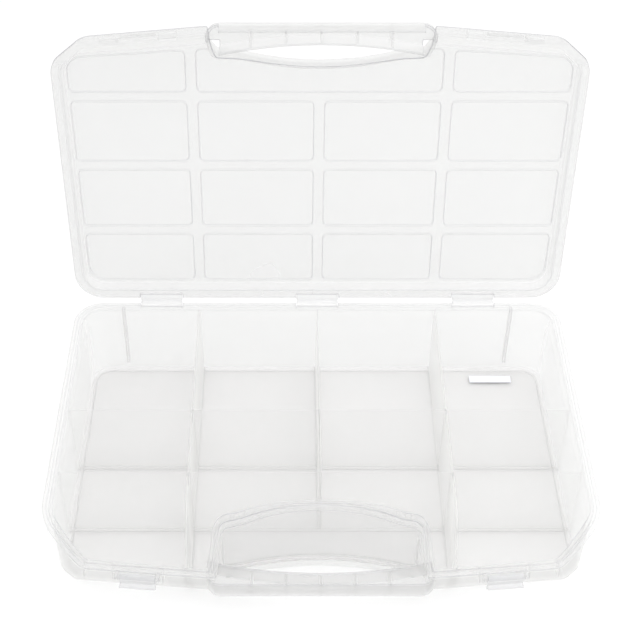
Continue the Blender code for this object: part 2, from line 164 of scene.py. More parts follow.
# Grip and the recess round it.
RECESS_HALF = 70.0
RECESS_BACK_Y = -65.5
RECESS_ARCH_RADIUS = 190.0
RECESS_ARCH_HALF = 52.0
RECESS_SHOULDER = (66.5, -74.0)
RECESS_RADIUS = 10.0
LID_RECESS_RADIUS = 5.0
RECESS_FLANGE = 3.4
RECESS_RIB_X = 61.5
RECESS_RIB_HALF = 0.4
RECESS_RIB_EDGE = 0.2
RECESS_RIB_Y = (-76.0, -71.0)
RECESS_RIB_Z = (5.0, 33.0)
LIP_HALF = 60.0
LIP_STEPS = 20
LIP_PROFILE = ((1.0, 0.15), (-2.8, 0.15), (-3.4, 0.7), (-3.4, 2.0), (-2.9, 2.5), (-0.6, 2.7),
               (0.0, 3.3), (1.0, 3.3))
MOUTH_RADIUS = 1.2
LID_RECESS_SHIFT = 1.0
GRIP_HALF = 70.6
GRIP_FRONT_Y = -105.6
GRIP_BACK_Y = -96.0
GRIP_BACK_RADIUS = 280.0
GRIP_PART_Z = 28.0
GRIP_HEIGHT = 12.7
LID_GRIP_HEIGHT = 14.0
GRIP_SKIN = 1.6
GRIP_END_RADIUS = 9.0
GRIP_FILLET = 1.2
GRIP_FILLET_MIDDLE = 0.35
GRIP_CROWN = 2.2
GRIP_ROOM_Y = -87.4
GRIP_STEP_X = 62.2
GRIP_STEP_REACH_X = 90.0
GRIP_STEP_NEAR_Y = -120.0
GRIP_STEP_FAR_Y = -80.0
WEB_PITCH = 21.4
WEB_COUNT = 5
WEB_HALF = 0.8
WEB_BITE = 0.3
WEB_EDGE = 0.35
WEB_TOP_DROP = 0.8
WEB_SINK = 0.4
NIB_HALF = 0.45
NIB_REACH = 0.9
NIB_DROP = 0.6
NIB_EDGE = 0.2

# Latches, ears and ribs.
EAR_SPAN = (12.6, 23.6)
EAR_NEAR = 3.4
EAR_DEPTH = 5.0
EAR_HEIGHT = 5.7
EAR_EDGE = 0.7
EAR_CLEARANCE = 0.6
RIDGE_INSET = 1.5
RIDGE_DEPTH = 2.2
RIDGE_Z = (2.8, 3.8)
RIDGE_EDGE = 0.3
LUG_GAP = 0.5
LUG_ROUNDING = 0.25
LUG_SHRINK = 0.9
LUG_BITE = 1.0
LUG_SLOPE = 0.4
LUG_WIDTH = 2.4
LUG_RADIUS = 2.1
LATCH_OUT = 2.5
LATCH_HALF = 11.0
LATCH_X = 112.3
PIN_Z = 34.2
FRONT_RIBS_X = (97.0, 128.0, 146.0)
FRONT_RIB_DROP = 8.0
FRONT_RIB_HALF = 0.35
FRONT_RIB_EDGE = 0.15
FRONT_RIB_INSET = 1.6
FRONT_RIB_BACK = 3.0
RIB_SINK = 0.4
FOOT_RIB_X = 137.0
FOOT_RIB_WIDTH = 2.2
FOOT_RIB_Z = 6.0
FOOT_RIB_INSET = 1.0
FOOT_RIB_LAP = 0.5

# Fineness of the meshes.
CORNER_STEPS = 10
ARCH_STEPS = 12
SEGMENT = 1.5
WELD = 0.004
CLOSE_POINTS = 0.05
BLOCK_EDGE = 0.5
TRAY_WALL_SHARES = (0.25, 0.5, 0.75)
LID_WALL_SHARES = (0.3, 0.6)
LID_EDGE_STEPS = 4
CAD_WELD = 0.01
SHARP_ANGLE = 32.0
DIVIDER_SHARP_ANGLE = 50.0
FLAT_ANGLE = 2.0
BEVEL_ANGLE = 30.0
LEAF_ROUNDING = 0.3
FLAP_ROUNDING = 0.25
PIN_ROUNDING = 0.2

CASE_SLOT = "frosted_plastic"
DIVIDER_SLOT = "divider_plastic"
HINGE_SLOT = "hinge_plastic"


# ---------------------------------------------------------------- meshes

def mesh_object(name, bm, sharp=SHARP_ANGLE):
    """Object from a bmesh drawn in millimetres, with its faces turned outwards."""
    bmesh.ops.remove_doubles(bm, verts=bm.verts, dist=WELD)
    bmesh.ops.recalc_face_normals(bm, faces=bm.faces)
    mesh = bpy.data.meshes.new(name)
    bm.to_mesh(mesh)
    bm.free()
    mesh.transform(Matrix.Scale(MM, 4))
    mesh.shade_smooth()
    mesh.set_sharp_from_angle(angle=math.radians(sharp))
    obj = bpy.data.objects.new(name, mesh)
    bpy.context.scene.collection.objects.link(obj)
    return obj


def add_loops(bm, loops, closed_ends=False):
    """Bridge successive loops of (x, y, z) points; closed_ends also fills the first and last."""
    rings = [[bm.verts.new(point) for point in loop] for loop in loops]
    for low, high in zip(rings, rings[1:]):
        for i, vertex in enumerate(low):
            j = (i + 1) % len(low)
            bm.faces.new((vertex, low[j], high[j], high[i]))
    if closed_ends:
        bm.faces.new(rings[0])
        bm.faces.new(rings[-1])
    return rings


def round_corners(corners, steps=CORNER_STEPS):
    """Outline through corners of (x, y, radius), each corner rounded by an arc."""
    points = []
    for i, (x, y, radius) in enumerate(corners):
        here = Vector((x, y))
        before = (Vector(corners[i - 1][:2]) - here).normalized()
        after = (Vector(corners[(i + 1) % len(corners)][:2]) - here).normalized()
        if radius <= 0.0:
            points.append((x, y))
            continue
        half = before.angle(after) / 2
        reach = radius / math.tan(half)
        centre = here + (before + after).normalized() * (radius / math.sin(half))
        start = here + before * reach - centre
        sweep = start.angle_signed(here + after * reach - centre)
        for step in range(steps + 1):
            point = centre + Matrix.Rotation(-sweep * step / steps, 2) @ start
            points.append((point.x, point.y))
    return points


def subdivide(points, counts):
    """Cut each side of an outline into the given number of equal pieces."""
    result = []
    for i, count in enumerate(counts):
        start, end = Vector(points[i]), Vector(points[(i + 1) % len(points)])
        result += [tuple(start.lerp(end, step / count)) for step in range(count)]
    return result


def side_counts(points):
    """Number of pieces that each side of an outline is cut into."""
    ends = points[1:] + points[:1]
    return [max(1, round((Vector(a) - Vector(b)).length / SEGMENT)) for a, b in zip(points, ends)]


def fill_cap(bm, boundary, loops):
    """Fill a boundary loop with triangles that follow the closed loops drawn inside it."""
    points, edges = [], []
    for loop in [boundary] + loops:
        first = len(points)
        points += loop
        edges += [(first + i, first + (i + 1) % len(loop)) for i in range(len(loop))]
    flat = [Vector(point[:2]) for point in points]
    _, _, faces, sources, _, _ = delaunay_2d_cdt(flat, edges, [], 1, 1e-6)
    verts = [bm.verts.new(points[source[0]]) for source in sources]
    for face in faces:
        bm.faces.new([verts[i] for i in face])


# ---------------------------------------------------------------- shape of the case

def front_line_y(x):
    """Front of the wall at rim height, at a distance x from the middle."""
    share = (abs(x) - MIDDLE_HALF) / (HALF_WIDTH - MIDDLE_HALF)
    return MIDDLE_FRONT_Y + share * (CORNER_FRONT_Y - MIDDLE_FRONT_Y)


def rim_height(y):
    """Height of the parting line: level at the back, sloping down to the low front."""
    share = (y - SLOPE_FOOT_Y) / (SLOPE_TOP_Y - SLOPE_FOOT_Y)
    soft = SLOPE_ROUNDING
    if share <= -soft or share >= 1 + soft:
        return FRONT_RIM_Z if share < 0 else RIM_Z
    if share < soft:
        share = (share + soft) ** 2 / (4 * soft)
    elif share > 1 - soft:
        share = 1 - (1 + soft - share) ** 2 / (4 * soft)
    return FRONT_RIM_Z + share * (RIM_Z - FRONT_RIM_Z)


def plan(out, mouth, shoulder_radius, side_shift, front_shift, corner_shift):
    """Corners of the wall's plan with the grip recess, moved outwards by out."""
    side = HALF_WIDTH + out - side_shift
    rear = REAR_Y + out - side_shift
    front_slide, side_slide = [slide * (FLANGE - out) for slide in CHAMFER_SLIDE]
    front_x = CHAMFER_FRONT_X + corner_shift[0] - front_slide
    side_y = CHAMFER_SIDE_Y + corner_shift[1] + side_slide
    mouth_x = RECESS_HALF - mouth
    chamfer_radius = CHAMFER_RADIUS + CHAMFER_SOFTENING * max(0.0, out)
    half = [
        (mouth_x, front_line_y(mouth_x) - out + front_shift, MOUTH_RADIUS),
        (front_x, front_line_y(front_x) - out + front_shift, chamfer_radius),
        (side + FRONT_FLARE, side_y, chamfer_radius),
        (side, rear, REAR_RADIUS + out),
    ]
    shoulder = (RECESS_SHOULDER[0] - mouth, RECESS_SHOULDER[1] - mouth, shoulder_radius - mouth)
    radius = RECESS_ARCH_RADIUS - mouth
    reach = RECESS_ARCH_HALF - mouth
    arch = []
    for step in range(2 * ARCH_STEPS + 1):
        x = reach * (step / ARCH_STEPS - 1)
        arch.append((x, RECESS_BACK_Y - mouth - radius + math.sqrt(radius * radius - x * x), 0.0))
    mirrored = [(-x, y, turn) for x, y, turn in reversed(half)]
    left_shoulder = (-shoulder[0], shoulder[1], shoulder[2])
    return round_corners(half + mirrored + [left_shoulder] + arch + [shoulder])


class Shell:
    """Family of plan loops: each point slides along its draft line to the height it needs."""

    def __init__(self, key_heights, key_plan):
        self.key_heights = key_heights
        self.key_plan = key_plan
        self.counts = side_counts(key_plan(0.0, key_heights[0]))

    def keys(self, out):
        """Plan loops at the key heights, a distance out from the wall."""
        return [subdivide(self.key_plan(out, z), self.counts) for z in self.key_heights]

    def at_height(self, keys, i, z):
        """Place of point i where its draft line reaches a height."""
        heights = self.key_heights
        part = 0 if z <= heights[1] else 1
        share = (z - heights[part]) / (heights[part + 1] - heights[part])
        return Vector(keys[part][i]).lerp(Vector(keys[part + 1][i]), share)

    def loop(self, out, height):
        """Loop at a distance out from the wall, at height(y) above the ground."""
        keys = self.keys(out)
        points = []
        for i in range(len(keys[0])):
            z = height(keys[1][i][1])
            for _ in range(4):
                spot = self.at_height(keys, i, z)
                z = height(spot.y)
            points.append((spot.x, spot.y, z))
        return points


def tray_plan(out, z):
    """The tray's plan at a height, drawn in towards the foot by the draft of its walls."""
    mouth = WALL + out * (RECESS_FLANGE / FLANGE if out > 0 else 1.0)
    forward = (FRONT_RIM_Z - z) / FRONT_RIM_Z
    corner = [shift * max(0.0, forward) for shift in FOOT_CORNER_SHIFT]
    side = SIDE_DRAFT * (RIM_Z - z) / RIM_Z
    return plan(out, mouth, RECESS_RADIUS, side, FRONT_DRAFT * forward, corner)


def lid_plan(out, z):
    """The lid's plan at a height, its front leaning back towards the top."""
    mouth = LID_RECESS_SHIFT + min(out, 0.0)
    lean = (z - FRONT_RIM_Z) / (LID_TOP_Z - FRONT_RIM_Z)
    corner = [shift * lean for shift in LID_CORNER_SHIFT]
    side = LID_INSET * max(0.0, (z - RIM_Z) / (LID_TOP_Z - RIM_Z))
    return plan(out, mouth, LID_RECESS_RADIUS, side, LID_FRONT_LEAN * lean, corner)


TRAY = Shell((0.0, FRONT_RIM_Z, RIM_Z), tray_plan)
LID = Shell((FRONT_RIM_Z, RIM_Z, LID_TOP_Z), lid_plan)


def level(z):
    """Height that is the same all round."""
    return lambda y: z


def rim(rise):
    """Height that follows the rim, a little above or below it."""
    return lambda y: rim_height(y) + rise


def between(low, rise, share):
    """Height part of the way from a level up to the rim."""
    return lambda y: low + (rim_height(y) + rise - low) * share


def fillet(shell, out, z, radius, start, end, steps=5):
    """Loops round a quarter circle whose centre is at (out, z)."""
    loops = []
    for step in range(steps + 1):
        turn = math.radians(start + (end - start) * step / steps)
        loops.append(shell.loop(out + radius * math.cos(turn), level(z + radius * math.sin(turn))))
    return loops


def rim_loops(shell, base, up, depth):
    """Flange, its rounded edge, the sealing groove and the inner lip, from outside to inside.

    base is the parting face's height above the rim line; up is 1 for a lid and -1 for a tray.
    Without a depth there is no groove, and the parting face is flat.
    """
    soft = RIM_ROUNDING
    back = base + up * FLANGE_THICKNESS
    inner, outer = GROOVE
    stations = [
        (0.0, back + up * FLANGE_FILLET),
        (FILLET_MIDDLE, back + up * FILLET_MIDDLE),
        (FLANGE_FILLET, back),
        (FLANGE - soft, back),
        (FLANGE - soft * ARC_MIDDLE, back - up * soft * ARC_MIDDLE),
        (FLANGE, back - up * soft),
        (FLANGE, base + up * soft),
        (FLANGE - soft * ARC_MIDDLE, base + up * soft * ARC_MIDDLE),
        (FLANGE - soft, base),
        (outer + GROOVE_APPROACH, base),
        (outer + GROOVE_EDGE, base),
        (outer, base + up * GROOVE_EDGE),
        (outer - GROOVE_TAPER, base + up * depth),
        (inner + GROOVE_TAPER, base + up * depth),
        (inner, base + up * GROOVE_EDGE),
        (inner - GROOVE_EDGE, base),
        (-WALL + soft, base),
        (-WALL + soft * ARC_MIDDLE, base + up * soft * ARC_MIDDLE),
        (-WALL, base + up * soft),
    ]
    if not depth:
        stations[FLAT_START:FLAT_END] = [(out, base) for out in FLAT_STATIONS]
    return [shell.loop(out, rim(rise)) for out, rise in stations]


def tray_shell():
    """Tray: underside, outer wall, rim flange with its groove, inner wall and floor."""
    low = BOTTOM_RADIUS
    outer = fillet(TRAY, -low, low, low, -90.0, 0.0)
    back = -FLANGE_THICKNESS - FLANGE_FILLET
    outer += [TRAY.loop(0.0, between(low, back, share)) for share in TRAY_WALL_SHARES]
    lip = rim_loops(TRAY, 0.0, -1.0, GROOVE_DEPTH)
    shares = reversed(TRAY_WALL_SHARES)
    inner = [TRAY.loop(-WALL, between(FLOOR + low, -RIM_ROUNDING, share)) for share in shares]
    inner += fillet(TRAY, -WALL - low, FLOOR + low, low, 0.0, -90.0)
    bm = bmesh.new()
    add_loops(bm, outer + lip + inner)
    fill_cap(bm, outer[0], [])
    fill_cap(bm, inner[-1], [])
    pockets = hinge_pockets(RIM_Z - FLANGE_THICKNESS - POCKET_SKIN, RIM_Z + POCKET_MARGIN)
    return cut(mesh_object("tray_shell", bm), pockets)


def panel_corners():
    """Low and high corners of the lid's embossed panels, row by row from the hinge."""
    half = PANEL_BAND / 2
    far = 2.0 * HALF_WIDTH
    rows = [far] + [edge for y in PANEL_ROWS_Y for edge in (y + half, y - half)] + [-far]
    columns = (-far, -COLUMN_X, 0.0, COLUMN_X, far)
    panels = []
    for row in range(4):
        spans = [(0, 1), (1, 2), (2, 3), (3, 4)] if row < 3 else [(0, 1), (1, 3), (3, 4)]
        for start, end in spans:
            low = (columns[start] + half, rows[2 * row + 1])
            high = (columns[end] - half, rows[2 * row])
            panels.append((low, high))
    return panels


def clip_outline(outline, low, high):
    """Part of a convex outline inside a box, as a list of corners."""
    for axis, limit, keep in ((0, low[0], 1), (0, high[0], -1), (1, low[1], 1), (1, high[1], -1)):
        result = []
        for i, here in enumerate(outline):
            there = outline[(i + 1) % len(outline)]
            a, b = keep * (here[axis] - limit), keep * (there[axis] - limit)
            if a >= 0:
                result.append(here)
            if (a < 0) != (b < 0):
                share = a / (a - b)
                result.append(tuple(p + (q - p) * share for p, q in zip(here, there)))
        outline = result
    return outline


def inset_outline(outline, inset):
    """Convex outline moved inwards."""
    moved = []
    for i, here in enumerate(outline):
        here = Vector(here)
        before = (here - Vector(outline[i - 1])).normalized()
        after = (Vector(outline[(i + 1) % len(outline)]) - here).normalized()
        inward = (Vector((-before.y, before.x)) + Vector((-after.y, after.x))).normalized()
        half_turn_cosine = max(LEAST_COSINE, before.dot(after) * 0.5 + 0.5) ** 0.5
        moved.append(tuple(here + inward * inset / half_turn_cosine))
    return moved


def panel_field():
    """Convex corners that hold the lid's panels: the top's plan without the grip recess."""
    outline = LID.key_plan(-PANEL_BORDER, LID_TOP_Z)
    clear_x = RECESS_HALF + PANEL_END_GAP
    return [(x, y) for x, y in outline if y > RECESS_SHOULDER[1] or abs(x) > clear_x]


def lid_shell():
    """Lid: top, outer wall, flange, inner wall and ceiling, with raised panels."""
    edge = LID_EDGE
    outer = fillet(LID, -edge, LID_TOP_Z - edge, edge, 90.0, 0.0, LID_EDGE_STEPS)
    high = LID_TOP_Z - edge
    back = PARTING_GAP + FLANGE_THICKNESS + FLANGE_FILLET
    outer += [LID.loop(0.0, between(high, back, share)) for share in LID_WALL_SHARES]
    lip = rim_loops(LID, PARTING_GAP, 1.0, 0.0)
    ceiling = LID_TOP_Z - WALL
    lip_top = PARTING_GAP + RIM_ROUNDING
    shares = reversed(LID_WALL_SHARES)
    inner = [LID.loop(-WALL, between(ceiling - edge, lip_top, share)) for share in shares]
    inner += fillet(LID, -WALL - edge, ceiling - edge, edge, 0.0, 90.0, LID_EDGE_STEPS)
    bm = bmesh.new()
    add_loops(bm, outer + lip + inner)
    for boundary, z in ((outer[0], LID_TOP_Z), (inner[-1], ceiling)):
        fill_cap(bm, boundary, panel_loops(z))
    pockets = hinge_pockets(RIM_Z - POCKET_MARGIN, RIM_Z + FLANGE_THICKNESS + POCKET_SKIN)
    return open_lid(cut(mesh_object("lid_shell_visual", bm), pockets))


def panel_loops(z):
    """Rings of every panel's sloping edge, rising by the embossing above z."""
    loops = []
    field = panel_field()
    for low, high in panel_corners():
        outline = clip_outline(field, low, high)
        outline = merge_close(outline)
        corners = [(x, y, corner_radius(outline, i)) for i, (x, y) in enumerate(outline)]
        rounded = merge_close(round_corners(corners, steps=PANEL_STEPS))
        for inset, rise in PANEL_RISE:
            ring = inset_outline(rounded, inset * EMBOSS_SLOPE)
            loops.append([(x, y, z + rise * EMBOSS) for x, y in ring])
    return loops


def merge_close(outline):
    """Drop points that repeat the one before them."""
    return [
        point for i, point in enumerate(outline)
        if (Vector(point) - Vector(outline[i - 1])).length > CLOSE_POINTS
    ]


def corner_radius(outline, i):
    """Rounding for one corner of a panel: full where it turns sharply, none along an arc."""
    here = Vector(outline[i])
    before = here - Vector(outline[i - 1])
    after = Vector(outline[(i + 1) % len(outline)]) - here
    if before.angle(after) < ARC_TURN:
        return 0.0
    return min(PANEL_RADIUS, before.length * RADIUS_SHARE, after.length * RADIUS_SHARE)


def open_lid(obj):
    """Turn a piece drawn on the closed lid to where the open lid holds it."""
    pivot = Matrix.Translation(HINGE * MM)
    obj.data.transform(pivot @ Matrix.Rotation(-LID_OPEN, 4, "X") @ pivot.inverted())
    return obj


# ---------------------------------------------------------------- smaller pieces

def add_block(bm, low, high, place=None, edge=BLOCK_EDGE):
    """Box with rounded edges, drawn between two corners and then moved by a matrix."""
    made = bmesh.ops.create_cube(bm, size=1.0)["verts"]
    low, high = Vector(low), Vector(high)
    for vertex in made:
        vertex.co = Vector([a + (b - a) * (c + 0.5) for a, b, c in zip(low, high, vertex.co)])
    edges = list({e for v in made for e in v.link_edges})
    rounded = bmesh.ops.bevel(bm, geom=edges, offset=edge, segments=3, profile=0.5, affect="EDGES")
    verts = {v for v in made if v.is_valid} | set(rounded["verts"])
    bmesh.ops.transform(bm, matrix=place or Matrix(), verts=list(verts))


def cut(obj, blocks):
    """Take plain boxes out of a piece."""
    bm = bmesh.new()
    for low, high in blocks:
        outline = [(low[0], low[1]), (high[0], low[1]), (high[0], high[1]), (low[0], high[1])]
        add_loops(bm, [[(x, y, z) for x, y in outline] for z in (low[2], high[2])], closed_ends=True)
    cutter = mesh_object("cutter", bm)
    modifier = obj.modifiers.new("cut", "BOOLEAN")
    modifier.operation = "DIFFERENCE"
    modifier.solver = "EXACT"
    modifier.object = cutter
    bpy.context.view_layer.update()
    graph = bpy.context.evaluated_depsgraph_get()
    mesh = bpy.data.meshes.new_from_object(obj.evaluated_get(graph))
    obj.modifiers.clear()
    obj.data = mesh
    bpy.data.objects.remove(cutter, do_unlink=True)
    mesh.shade_smooth()
    mesh.set_sharp_from_angle(angle=math.radians(SHARP_ANGLE))
    return obj


def hinge_pockets(low, high):
    """Boxes cut out of a rear flange where the hinge leaves lie."""
    start = REAR_Y + FLANGE - POCKET_DEPTH
    half = STRAP_HALF + PARTING_GAP
    return [((x - half, start, low), (x + half, start + POCKET_REACH, high)) for x in STRAPS.values()]


def grip_outline(inset):
    """Plan of the grip bar, its back edge bowed; inset moves it inwards."""
    half = GRIP_HALF - inset
    back = GRIP_BACK_Y - inset
    radius = GRIP_END_RADIUS - inset
    corners = [(-half, GRIP_FRONT_Y + inset, radius), (half, GRIP_FRONT_Y + inset, radius)]
    for step in range(17):
        x = half - 2 * half * step / 16
        corners.append((x, back + x * x / (2 * GRIP_BACK_RADIUS), 0.0))
    return round_corners(corners)


def add_grip(bm, mouth_z, depth):
    """Channel bar open at mouth_z, its closed side depth away.

    A positive depth closes the bar above its mouth, as on the lid.
    """
    up = 1.0 if depth > 0 else -1.0
    crown = GRIP_CROWN
    stations = [(crown, depth)]
    for step in range(1, 7):
        turn = math.radians(90.0 * step / 6)
        stations.append((crown * (1 - math.sin(turn)), depth - up * crown * (1 - math.cos(turn))))
    soft = RIM_ROUNDING
    turned = soft * ARC_MIDDLE
    stations += [(0.0, up * soft), (turned, up * turned), (soft, 0.0)]
    stations += [(GRIP_SKIN - soft, 0.0), (GRIP_SKIN - turned, up * turned), (GRIP_SKIN, up * soft)]
    floor = depth - up * GRIP_SKIN
    stations += [
        (GRIP_SKIN, floor - up * GRIP_FILLET),
        (GRIP_SKIN + GRIP_FILLET_MIDDLE, floor - up * GRIP_FILLET_MIDDLE),
        (GRIP_SKIN + GRIP_FILLET, floor),
    ]
    loops = [[(x, y, mouth_z + rise) for x, y in grip_outline(inset)] for inset, rise in stations]
    add_loops(bm, loops)
    fill_cap(bm, loops[0], [])
    fill_cap(bm, loops[-1], [])


def web_places():
    """Distances of the grip's cross webs from the middle."""
    return [(i - (WEB_COUNT - 1) / 2) * WEB_PITCH for i in range(WEB_COUNT)]


def grip_webs(name, mouth_z, depth):
    """Cross webs that stiffen a grip channel."""
    bm = bmesh.new()
    up = 1.0 if depth > 0 else -1.0
    floor = depth - up * GRIP_SKIN
    near, far = sorted((mouth_z + up * WEB_TOP_DROP, mouth_z + floor + up * WEB_SINK))
    for x in web_places():
        back = GRIP_BACK_Y + x * x / (2 * GRIP_BACK_RADIUS)
        low = (x - WEB_HALF, GRIP_FRONT_Y + GRIP_SKIN - WEB_BITE, near)
        add_block(bm, low, (x + WEB_HALF, back - GRIP_SKIN + WEB_BITE, far), edge=WEB_EDGE)
    return mesh_object(name, bm)


def floor_bead():
    """Slim raised line round the tray's floor at the foot of its walls."""
    bm = bmesh.new()
    middle = -WALL - BOTTOM_RADIUS - BEAD_WIDTH / 2
    loops = []
    for across, rise in BEAD_PROFILE:
        loops.append(TRAY.loop(middle + across * BEAD_WIDTH, level(FLOOR + rise * BEAD_HEIGHT)))
    rings = add_loops(bm, loops)
    for i, vertex in enumerate(rings[0]):
        j = (i + 1) % len(rings[0])
        bm.faces.new((rings[-1][i], rings[-1][j], rings[0][j], vertex))
    return mesh_object("floor_bead", bm)


def front_ribs():
    """Slim upright ribs under the tray's front flange, on either side of each latch."""
    bm = bmesh.new()
    top = FRONT_RIM_Z - FLANGE_THICKNESS
    for side in (-1, 1):
        for x in FRONT_RIBS_X:
            place = Matrix.Translation((side * x, front_line_y(x), 0.0))
            place = place @ Matrix.Rotation(side * front_edge_angle(), 4, "Z")
            low = (-FRONT_RIB_HALF, -FLANGE + FRONT_RIB_INSET, top - FRONT_RIB_DROP)
            high = (FRONT_RIB_HALF, FRONT_RIB_BACK, top + RIB_SINK)
            add_block(bm, low, high, place, FRONT_RIB_EDGE)
    return mesh_object("front_ribs", bm)


def grip_nibs(name, mouth_z, depth):
    """Short upright ribs on the inside of a grip channel's front skin."""
    bm = bmesh.new()
    up = 1.0 if depth > 0 else -1.0
    near, far = sorted((mouth_z + up * NIB_DROP, mouth_z + depth - up * GRIP_CROWN))
    front = GRIP_FRONT_Y + GRIP_SKIN
    for x in web_places():
        low = (x - NIB_HALF, front - WEB_BITE, near)
        add_block(bm, low, (x + NIB_HALF, front + NIB_REACH, far), edge=NIB_EDGE)
    return mesh_object(name, bm)


def recess_details():
    """Foot lip of the recess wall and the two upright ribs at its ends."""
    bm = bmesh.new()
    radius = RECESS_ARCH_RADIUS - WALL
    sections = []
    for step in range(2 * LIP_STEPS + 1):
        x = LIP_HALF * (step / LIP_STEPS - 1)
        back = RECESS_BACK_Y - WALL - radius + math.sqrt(radius * radius - x * x)
        sections.append([(x, back + across, z) for across, z in LIP_PROFILE])
    add_loops(bm, sections, closed_ends=True)
    for side in (-1, 1):
        middle = side * RECESS_RIB_X
        low = (middle - RECESS_RIB_HALF, RECESS_RIB_Y[0], RECESS_RIB_Z[0])
        high = (middle + RECESS_RIB_HALF, RECESS_RIB_Y[1], RECESS_RIB_Z[1])
        add_block(bm, low, high, edge=RECESS_RIB_EDGE)
    return mesh_object("recess_details", bm)


def tray_grip():
    bm = bmesh.new()
    add_grip(bm, GRIP_PART_Z, -GRIP_HEIGHT)
    return mesh_object("tray_grip", bm)


def lid_grip():
    """Upper half of the grip, with its ends stepped over the tray's recess wall."""
    bm = bmesh.new()
    add_grip(bm, GRIP_PART_Z + PARTING_GAP, LID_GRIP_HEIGHT)
    grip = mesh_object("lid_grip", bm)
    ends = ((-GRIP_STEP_REACH_X, -GRIP_STEP_X), (GRIP_STEP_X, GRIP_STEP_REACH_X))
    for near_y, far_y in ((GRIP_STEP_NEAR_Y, SLOPE_FOOT_Y), (SLOPE_FOOT_Y, GRIP_STEP_FAR_Y)):
        top = rim_height(min(far_y, GRIP_ROOM_Y)) + 2 * PARTING_GAP
        grip = cut(grip, [((near_x, near_y, 0.0), (far_x, far_y, top)) for near_x, far_x in ends])
    return open_lid(grip)


def front_edge_angle():
    """Slant of the front edge in plan, on the right half."""
    return math.atan2(CORNER_FRONT_Y - MIDDLE_FRONT_Y, HALF_WIDTH - MIDDLE_HALF)


def front_frame(side, out, z):
    """Matrix at a latch's middle, out from the flange's edge, with X along the front edge."""
    x = side * LATCH_X
    place = Matrix.Translation((x, front_line_y(x) - FLANGE - out, z))
    return place @ Matrix.Rotation(side * front_edge_angle(), 4, "Z")


def lid_ears():
    """Blocks on the lid's front flange, a pair beside each latch with a low ridge between them."""
    bm = bmesh.new()
    for side in (-1, 1):
        place = front_frame(side, 0.0, FRONT_RIM_Z + 2 * PARTING_GAP)
        for end in (-1, 1):
            near, far = sorted(end * x for x in EAR_SPAN)
            high = (far, EAR_NEAR + EAR_DEPTH, EAR_HEIGHT)
            add_block(bm, (near, EAR_NEAR, 0.0), high, place, EAR_EDGE)
        half = EAR_SPAN[0] - RIDGE_INSET
        high = (half, EAR_NEAR + RIDGE_DEPTH, RIDGE_Z[1])
        add_block(bm, (-half, EAR_NEAR, RIDGE_Z[0]), high, place, RIDGE_EDGE)
    for vertex in bm.verts:
        vertex.co.z = max(vertex.co.z, rim_height(vertex.co.y) + EAR_CLEARANCE)
    return open_lid(mesh_object("lid_ears", bm))


def latch_lugs():
    """Lugs under the tray's front flange that carry the latch pins."""
    bm = bmesh.new()
    for side in (-1, 1):
        place = front_frame(side, LATCH_OUT, PIN_Z)
        for end in (-1, 1):
            inner = LATCH_HALF + LUG_GAP
            near, far = sorted(end * x for x in (inner, inner + LUG_WIDTH))
            soft = LUG_ROUNDING
            loops = []
            for x, size in ((near, LUG_SHRINK), (near + soft, 1.0), (far - soft, 1.0), (far, LUG_SHRINK)):
                loops.append([place @ Vector((x, y * size, z * size)) for y, z in lug_profile()])
            add_loops(bm, loops, closed_ends=True)
    return mesh_object("latch_lugs", bm)


def lug_profile():
    """Side view of a lug: round at the pin, straight where it meets the wall."""
    profile = []
    for step in range(13):
        turn = math.radians(90.0 + 180.0 * step / 12)
        profile.append((LUG_RADIUS * math.cos(turn), LUG_RADIUS * math.sin(turn)))
    root = LATCH_OUT + LUG_BITE
    profile += [(root, -LUG_RADIUS), (root, LUG_RADIUS - LUG_SLOPE)]
    return profile[::-1]


def foot_ribs():
    """Two upright ribs outside the rear wall, for standing the case on its hinge side."""
    bm = bmesh.new()
    half = FOOT_RIB_WIDTH / 2
    for x in (-FOOT_RIB_X, FOOT_RIB_X):
        low = (x - half, REAR_Y - SIDE_DRAFT - RIB_SINK, FOOT_RIB_Z)
        high = (x + half, REAR_Y + FLANGE - FOOT_RIB_INSET, RIM_Z - FLANGE_THICKNESS + FOOT_RIB_LAP)
        add_block(bm, low, high)
    return mesh_object("foot_ribs", bm)


def divider(name, along_x, position, start, end):
    """Thin wall with a rounded top, a little thicker at its foot, flared where it meets the floor."""
    bm = bmesh.new()
    count = max(2, round(abs(end - start) / SEGMENT))
    sections = []
    for i in range(count + 1):
        s = start + (end - start) * i / count
        y = position if along_x else s
        foot = wall_foot(position, s) if not along_x else FLOOR
        top = rim_height(y) - DIVIDER_DROP
        section = divider_profile(min(foot - FOOT_SINK, top - LEAST_DIVIDER), top)
        if along_x:
            sections.append([(s, position + across, z) for across, z in section])
        else:
            sections.append([(position + across, s, z) for across, z in section])
    add_loops(bm, sections, closed_ends=True)
    return mesh_object(name, bm, sharp=DIVIDER_SHARP_ANGLE)


def divider_profile(low, top):
    """Cross section of a divider, as (across, height) pairs."""
    head, foot = DIVIDER_TOP / 2, DIVIDER_FOOT / 2
    flare = min(DIVIDER_FLARE, (top - low) * FLARE_SHARE)
    bend = flare * ARC_MIDDLE
    half = [(foot + flare, low), (foot + bend, low + bend), (foot, low + flare)]
    shoulder = top - head * HEAD_FLATNESS
    half.append((head, max(shoulder, low + flare)))
    for step in range(1, 5):
        turn = math.radians(90.0 * step / 4)
        half.append((head * math.cos(turn), shoulder + head * HEAD_FLATNESS * math.sin(turn)))
    return half + [(-across, z) for across, z in reversed(half[:-1])]


def wall_foot(x, y):
    """Height at which a wall across Y at a distance x meets the sloping front of the tray."""
    inner = front_line_y(x) + WALL
    return max(FLOOR, FRONT_RIM_Z - (y - inner) / FRONT_DRAFT * FRONT_RIM_Z)


